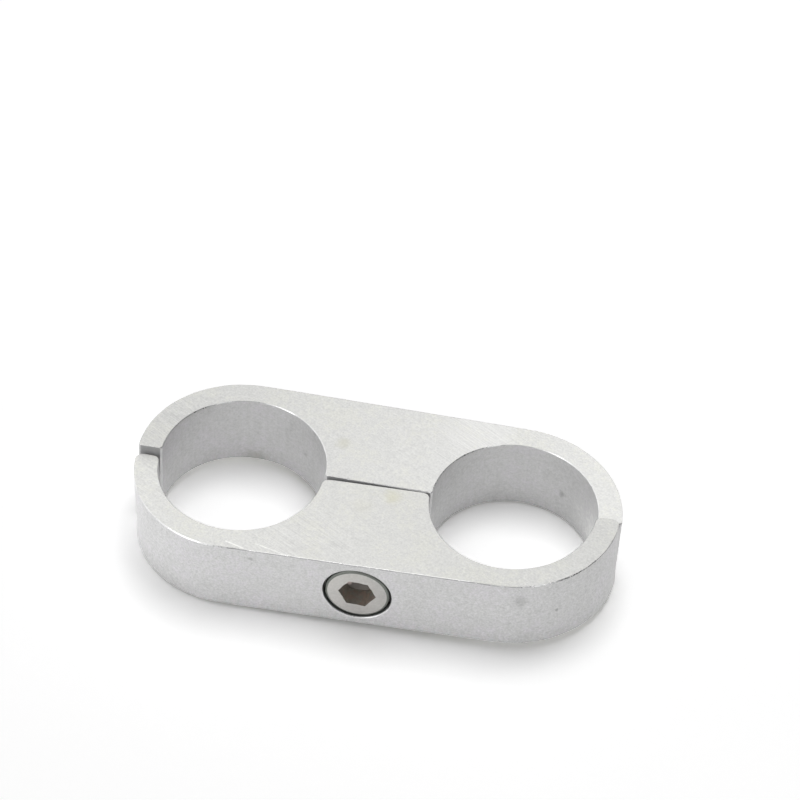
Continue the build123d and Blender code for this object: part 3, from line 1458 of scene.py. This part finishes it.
@dataclass
class Studio:
    """The floor, the light and the camera. Metres and degrees."""

    sizes: ClampSizes
    azimuth: float = 8.291
    elevation: float = 46.612
    roll: float = 2.495
    aim: Flat = (-0.687 * MM, 24.319 * MM)
    distance: float = 567.35 * MM
    lens: float = 161.62
    floor_reach: float = 3.0
    floor_colour: float = 0.80
    floor_lift: float = 0.70
    world_level: float = 0.32
    mirrored_level: float = 1.10
    mirrored_lean: Place = (-0.60, 0.0, -0.73)
    lamp_power: float = 4.27
    lamp_size: float = 0.55
    lamp_place: Place = (0.077, 0.29, 1.0)
    card_power: float = 0.9
    card_size: float = 0.3
    cards: tuple[tuple[float, Place], ...] = ((1.0, (-0.56, -0.57, 0.60)), (0.65, (0.47, -0.58, 0.65)))

    def build(self) -> None:
        """Builds the whole setting."""
        self._floor()
        self._world()
        self._lamps()
        self._camera()

    def _floor(self) -> None:
        """A wide white floor that the camera and shiny surfaces see as lit paper."""
        reach = self.floor_reach
        corners = [(-reach, -reach, 0), (reach, -reach, 0), (reach, reach, 0), (-reach, reach, 0)]
        mesh = bpy.data.meshes.new("floor")
        mesh.from_pydata(corners, [], [(0, 1, 2, 3)])
        material = bpy.data.materials.new("paper_floor")
        material.use_nodes = True
        graph = Graph(material.node_tree)
        seen = self._kind_of_ray(graph, "Camera") + self._mirrored(graph)
        shade = self.floor_colour + seen.at_most(1.0) * self.floor_lift
        paper = graph.add("ShaderNodeBsdfDiffuse", inputs={"Color": shade})
        graph.add("ShaderNodeOutputMaterial", inputs={"Surface": paper})
        mesh.materials.append(material)
        put("floor", mesh)

    @staticmethod
    def _kind_of_ray(graph: Graph, kind: str) -> Value:
        """1 for rays of a kind and 0 for others."""
        return graph.add("ShaderNodeLightPath", output=f"Is {kind} Ray")

    def _mirrored(self, graph: Graph) -> Value:
        """1 for what shiny and clear surfaces show, and 0 otherwise."""
        clear = self._kind_of_ray(graph, "Transmission")
        return (self._kind_of_ray(graph, "Glossy") + clear).at_most(1.0)

    def _world(self) -> None:
        """A pale surround, white behind the scene. Metal sees it brighter towards one side."""
        world = bpy.data.worlds.new("surround")
        world.use_nodes = True
        world.cycles.sampling_method = "NONE"
        graph = Graph(world.node_tree)
        way = graph.add("ShaderNodeTexCoord", output="Generated")
        lean = graph.vector("DOT_PRODUCT", way, self.mirrored_lean)
        mirrored = self._mirrored(graph) * (self.mirrored_level * (1 + lean) - self.world_level)
        behind = self._kind_of_ray(graph, "Camera") * (1 - self.world_level)
        strength = self.world_level + mirrored + behind
        sky = graph.add("ShaderNodeBackground", inputs={"Color": (1, 1, 1, 1), "Strength": strength})
        graph.add("ShaderNodeOutputWorld", inputs={"Surface": sky})
        bpy.context.scene.world = world

    @staticmethod
    def _lamp(name: str, place: Place, size: float, power: float) -> bpy.types.Object:
        """Adds a square soft box that faces the origin.

        Args:
            name: Its name.
            place: Where it stands.
            size: The length of its side.
            power: Its power in watts.

        Returns:
            The lamp.
        """
        data = bpy.data.lights.new(name, "AREA")
        data.shape = "SQUARE"
        data.size = size
        data.energy = power
        lamp = put(name, data)
        lamp.location = place
        lamp.rotation_mode = "QUATERNION"
        lamp.rotation_quaternion = Vector(place).to_track_quat("Z", "Y")
        return lamp

    def _lamps(self) -> None:
        """A large soft box above and behind, and two low cards in front that only metal shows."""
        self._lamp("softbox", self.lamp_place, self.lamp_size, self.lamp_power)
        for share, place in self.cards:
            card = self._lamp("card", place, share * self.card_size, share**2 * self.card_power)
            card.visible_diffuse = False

    def _camera(self) -> None:
        """Looks down at the clamp with a long lens."""
        azimuth, elevation, roll = (math.radians(a) for a in (self.azimuth, self.elevation, self.roll))
        forward = Vector((
            -math.sin(azimuth) * math.cos(elevation),
            math.cos(azimuth) * math.cos(elevation),
            -math.sin(elevation),
        ))
        level = Vector((math.cos(azimuth), math.sin(azimuth), 0))
        under = forward.cross(level)
        right = math.cos(roll) * level - math.sin(roll) * under
        down = math.sin(roll) * level + math.cos(roll) * under
        aim = Vector((*self.aim, self.sizes.mid_height))
        data = bpy.data.cameras.new("camera")
        data.lens = self.lens
        data.sensor_width = 36.0
        data.clip_start, data.clip_end = 0.01, 20.0
        camera = put("camera", data)
        axes = Matrix((right, -down, -forward)).transposed()
        camera.matrix_world = Matrix.Translation(aim - self.distance * forward) @ axes.to_4x4()
        bpy.context.scene.camera = camera


def main() -> None:
    logging.basicConfig(level=logging.INFO, format="%(name)s: %(message)s")
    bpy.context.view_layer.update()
    sizes = ClampSizes.from_frame(frame)
    metals = {kind: finish.material(kind.value) for kind, finish in aluminium_finishes().items()}
    steels = {kind: finish.material(kind.value) for kind, finish in screw_finishes().items()}
    halves = (
        PlateHalf("back", sizes, 1, Trim.FLAT, 0.3 * MM, seed=3),
        PlateHalf("front", sizes, -1, Trim.ROUND, 1.1 * MM, seed=8),
    )
    for half in halves:
        half.build(metals)
    screw = CapScrew(sizes)
    screw.build(steels)
    ThreadPair(sizes).build(steels[ScrewSurface.SHANK], metals[Surface.HOLE])
    screw.knurl(steels[ScrewSurface.HEAD])
    chips = RimChips()
    bright = burr_finish().material("bright_burr")
    for half in halves:
        half.strew_burrs(chips, bright)
    Studio(sizes).build()
    bpy.context.scene.view_settings.view_transform = "Standard"


if __name__ == "__main__":
    main()
